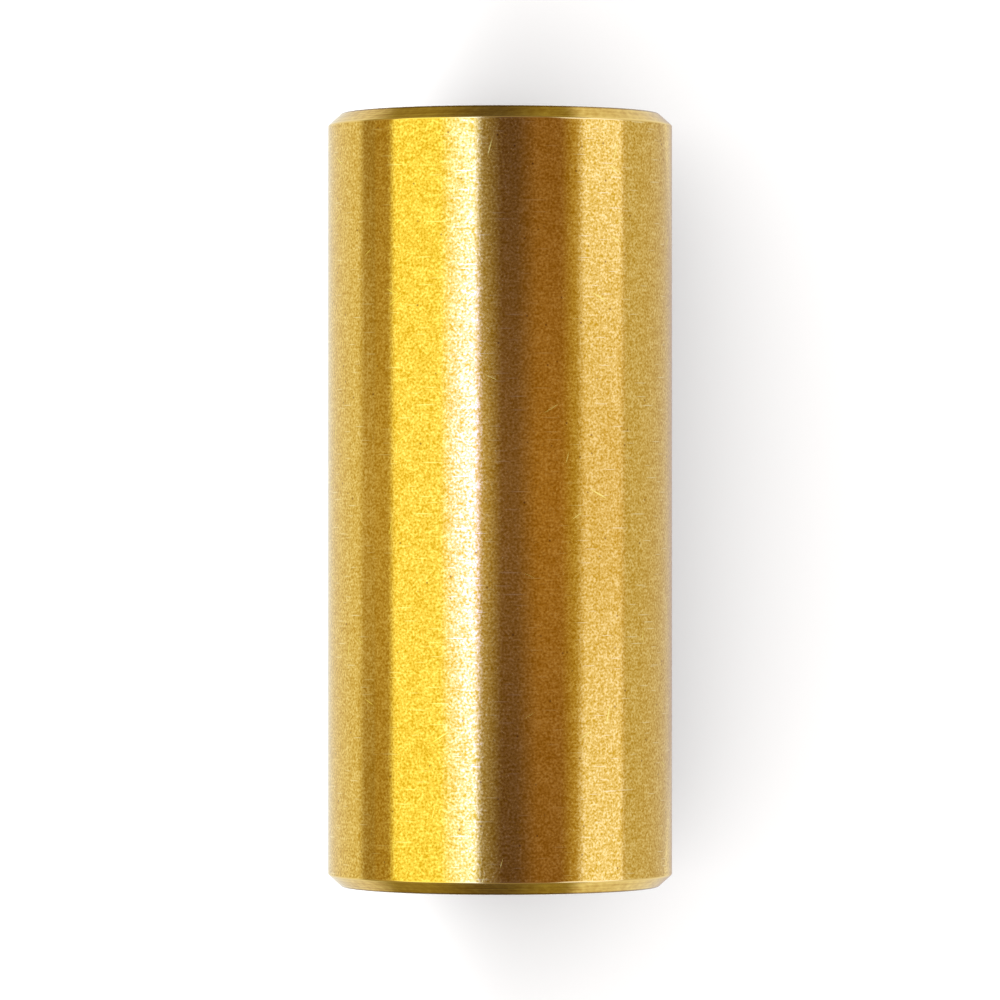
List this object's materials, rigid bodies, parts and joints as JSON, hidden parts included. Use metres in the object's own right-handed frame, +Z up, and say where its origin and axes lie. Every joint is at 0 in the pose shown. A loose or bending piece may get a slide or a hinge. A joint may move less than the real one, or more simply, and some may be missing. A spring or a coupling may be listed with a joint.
{
  "type": "guitar slide",
  "caption": "Plain brass tube open at both ends, worn on a finger and glided along the strings, with chamfered rims.",
  "frame": {"origin": "on the surface that the slide lies on, below the middle of the slide", "axes": "+Z up from that surface, +Y along the slide's own axis, +X across it"},
  "size_m": [0.0254, 0.057, 0.0254],
  "materials": {
    "brass": "turned and tumbled satin brass, lightly tarnished, with fine grain, small pits and hairline scratches"
  },
  "bodies": {
    "root": {"slide_tube": "brass"}
  },
  "joints": []
}
